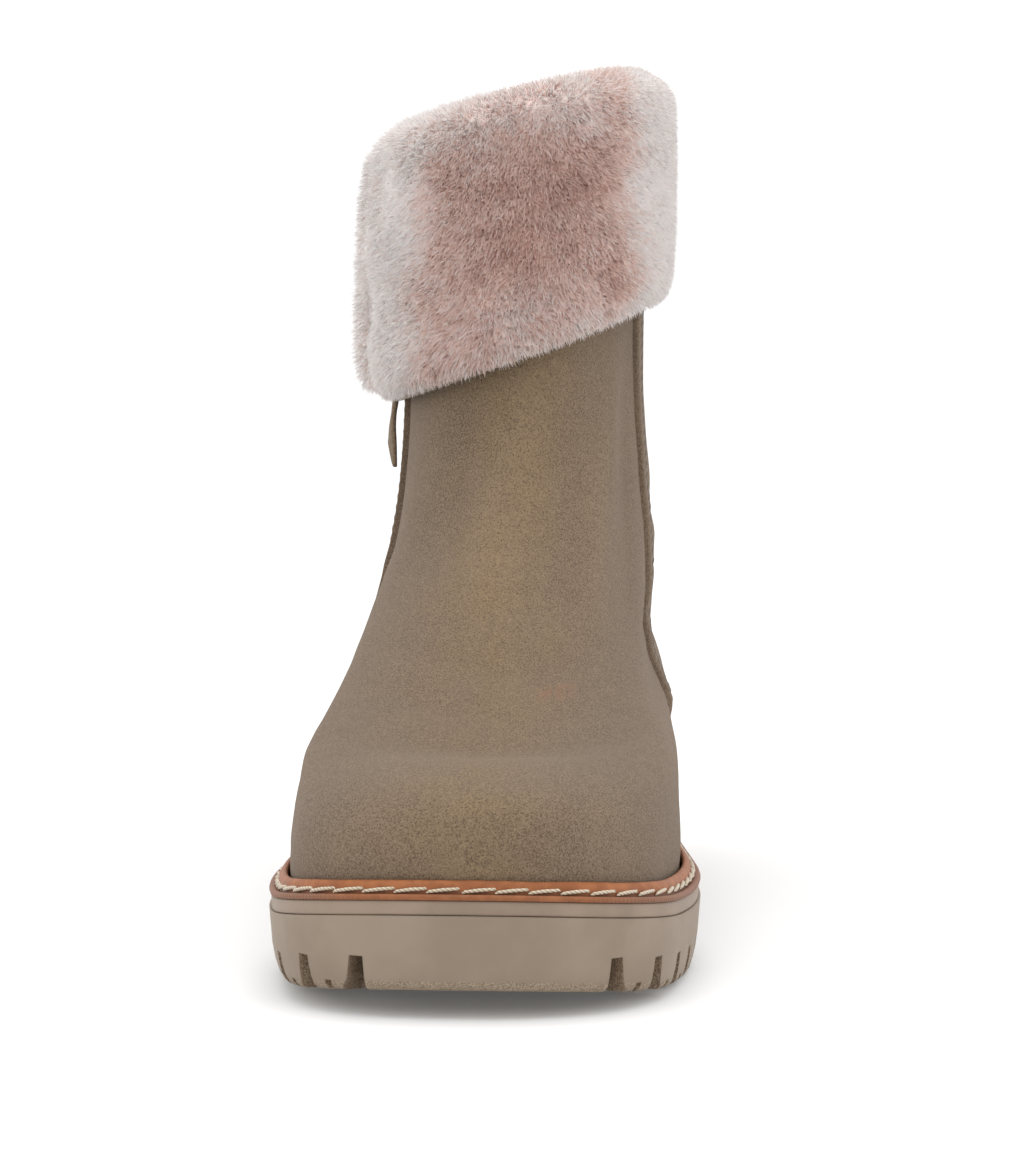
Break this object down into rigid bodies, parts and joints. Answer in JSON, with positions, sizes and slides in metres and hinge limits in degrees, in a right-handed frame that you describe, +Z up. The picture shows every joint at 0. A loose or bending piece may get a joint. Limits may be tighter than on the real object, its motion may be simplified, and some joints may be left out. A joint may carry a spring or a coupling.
{
  "type": "sheepskin boot",
  "caption": "Left ankle boot with a true-to-last hollow upper, turned-down fur cuff split over an inside zip, raised storm welt and lugged block-heel sole",
  "frame": {"origin": "centre of the footprint, on the floor plane under the tread", "axes": "+X towards the outside of the foot, -Y towards the toe, +Z up the shaft"},
  "size_m": [0.109, 0.286, 0.2281],
  "materials": {
    "sole_rubber": "matt moulded rubber, taupe",
    "midsole_band": "smooth matt band, taupe",
    "welt_leather": "waxed cognac leather",
    "footbed": "short pile",
    "nubuck": "napped matt nubuck, olive taupe",
    "fur": "dense plush pile, dusty pink",
    "zip_tape": "woven tape with small moulded teeth",
    "zip_metal": "dark satin metal"
  },
  "bodies": {
    "boot": {"outsole": "sole_rubber", "midsole": "midsole_band", "welt": "welt_leather", "insole": "footbed", "upper": "nubuck", "back_quarter": "nubuck", "cuff": "fur", "zip_chain": "zip_tape", "zip_slider": "zip_metal"},
    "zip_pull": {"pull_ring": "zip_metal", "pull_strip": "nubuck"}
  },
  "joints": [
    {"name": "pull_hinge", "type": "hinge", "parent": "boot", "child": "zip_pull", "pos_m": [-0.03489, 0.0685, 0.147], "axis": [0, 1, 0], "range_deg": [0, 75]}
  ]
}
